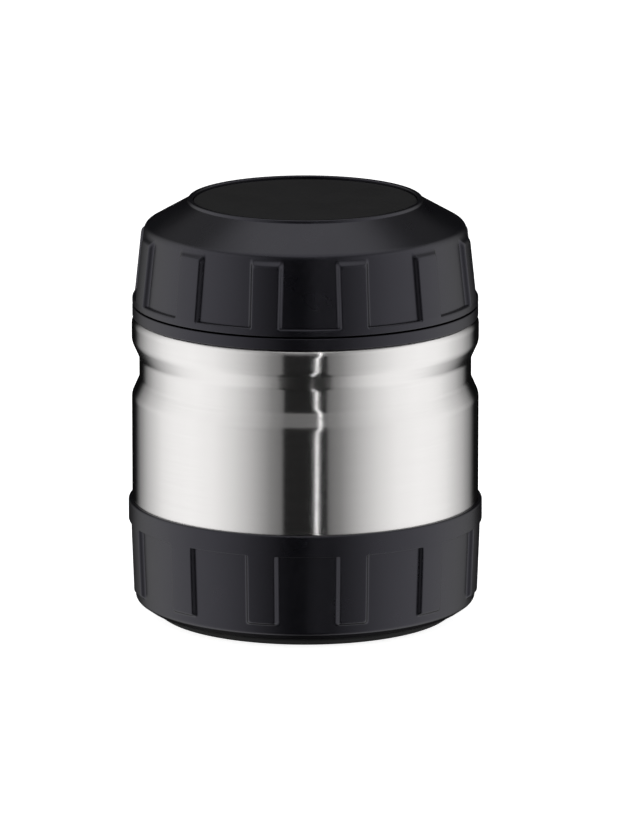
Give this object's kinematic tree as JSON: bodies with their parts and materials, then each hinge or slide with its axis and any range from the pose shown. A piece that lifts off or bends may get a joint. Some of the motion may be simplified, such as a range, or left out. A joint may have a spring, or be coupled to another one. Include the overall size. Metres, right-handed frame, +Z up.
{
  "type": "insulated food jar",
  "caption": "Wide-mouth vacuum food jar in brushed steel with a waist groove, black ribbed base cup, screw-on bowl lid and a screw-in stopper with a pressure-release button.",
  "frame": {"origin": "centre of the foot ring's underside, on the surface that the jar stands on", "axes": "+Z up along the jar's axis, out of its mouth; -Y is the side that faces the camera of the picture"},
  "size_m": [0.104, 0.104, 0.124],
  "materials": {
    "brushed_steel": "satin",
    "vessel_steel": "satin",
    "braze_metal": "satin",
    "foil": "polished",
    "black_plastic": "satin",
    "disc_plastic": "matte",
    "liner_plastic": "satin",
    "stopper_plastic": "satin",
    "button_plastic": "satin",
    "silicone": "matte",
    "foot_rubber": "matte",
    "foam": "matte",
    "spring_steel": "gloss"
  },
  "bodies": {
    "jar": {"outer_shell": "brushed_steel", "inner_vessel": "vessel_steel", "shell_base_plate": "vessel_steel", "vacuum_plug": "braze_metal", "getter_capsule": "vessel_steel", "heat_foil": "foil", "neck_collar": "black_plastic", "collar_seal": "silicone", "base_cup": "black_plastic", "base_cushion": "foam", "foot_ring": "foot_rubber"},
    "lid_core": {"lid_liner": "liner_plastic", "lid_seal": "silicone"},
    "lid": {"lid_shell": "black_plastic", "lid_top_disc": "disc_plastic"},
    "stopper_core": {"stopper_gasket": "silicone", "stopper_foam": "foam"},
    "stopper": {"stopper_body": "stopper_plastic", "stopper_cover": "stopper_plastic", "valve_spring": "spring_steel"},
    "valve": {"valve_button": "button_plastic", "valve_stem": "button_plastic", "valve_seal": "silicone"}
  },
  "joints": [
    {"name": "lid_turn", "type": "hinge", "parent": "lid_core", "child": "lid", "pos_m": [0, 0, 0.1], "axis": [0, 0, 1], "range_deg": [0, 720]},
    {"name": "lid_rise", "type": "slide", "parent": "jar", "child": "lid_core", "axis": [0, 0, 1], "range_m": [0, 0.0361]},
    {"name": "stopper_turn", "type": "hinge", "parent": "stopper_core", "child": "stopper", "pos_m": [0, 0, 0.1], "axis": [0, 0, 1], "range_deg": [0, 368]},
    {"name": "stopper_rise", "type": "slide", "parent": "jar", "child": "stopper_core", "axis": [0, 0, 1], "range_m": [0, 0.00925]},
    {"name": "valve_press", "type": "slide", "parent": "stopper", "child": "valve", "axis": [0, 0, -1], "range_m": [0, 0.002], "stiffness_N_per_m": 300, "springref_m": -0.004, "deforming": ["valve_spring"]}
  ],
  "couplings": [
    {"joint": "lid_rise", "follows": "lid_turn", "m_per_rad": 0.0028648},
    {"joint": "stopper_rise", "follows": "stopper_turn", "m_per_rad": 0.0014324}
  ]
}
